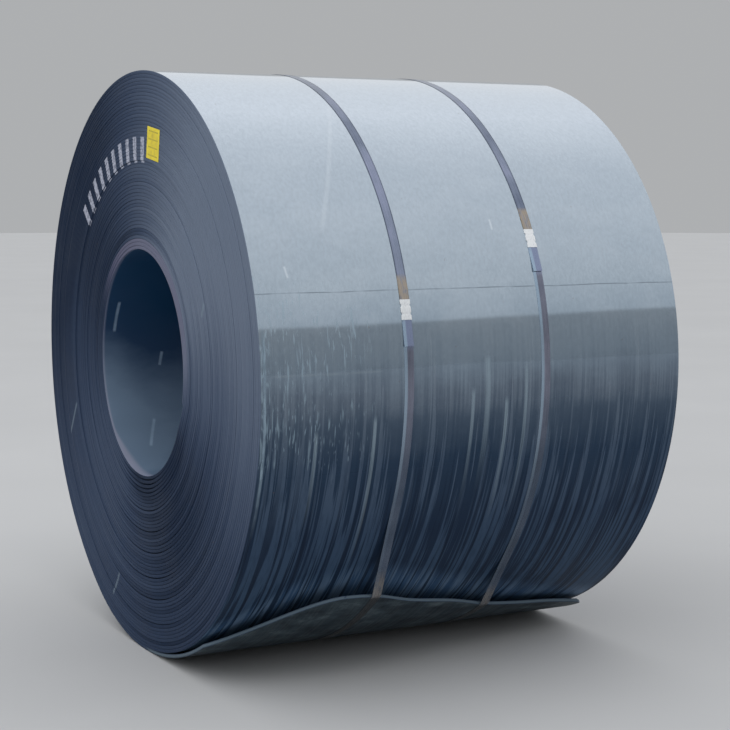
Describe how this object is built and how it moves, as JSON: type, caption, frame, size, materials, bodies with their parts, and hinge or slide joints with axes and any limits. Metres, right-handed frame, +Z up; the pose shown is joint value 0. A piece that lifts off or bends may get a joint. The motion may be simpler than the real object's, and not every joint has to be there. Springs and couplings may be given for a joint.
{
  "type": "steel coil",
  "caption": "Wound coil of thick hot rolled steel strip, lying on its side, with a round bore, a tongue-shaped outer end, and steel straps with crimped seals.",
  "frame": {"origin": "middle of the footprint, on the floor under the coil's axis", "axes": "+X along the coil's axis, from the end face with the label to the other; -Y is the side that shows the seals and the strip's outer end; +Z up"},
  "size_m": [1.504, 1.9389, 1.9507],
  "materials": {
    "mill_scale_steel": "blue-grey mill scale, half glossy, with streaks round the coil",
    "strap_steel": "blued steel strapping, smooth",
    "seal_steel": "bright zinc coated steel, crimped",
    "label": "blank yellow label, slightly glossy"
  },
  "bodies": {
    "root": {"coil": "mill_scale_steel", "strap_near": "strap_steel", "strap_far": "strap_steel", "seal_near": "seal_steel", "seal_far": "seal_steel", "label": "label"}
  },
  "joints": []
}
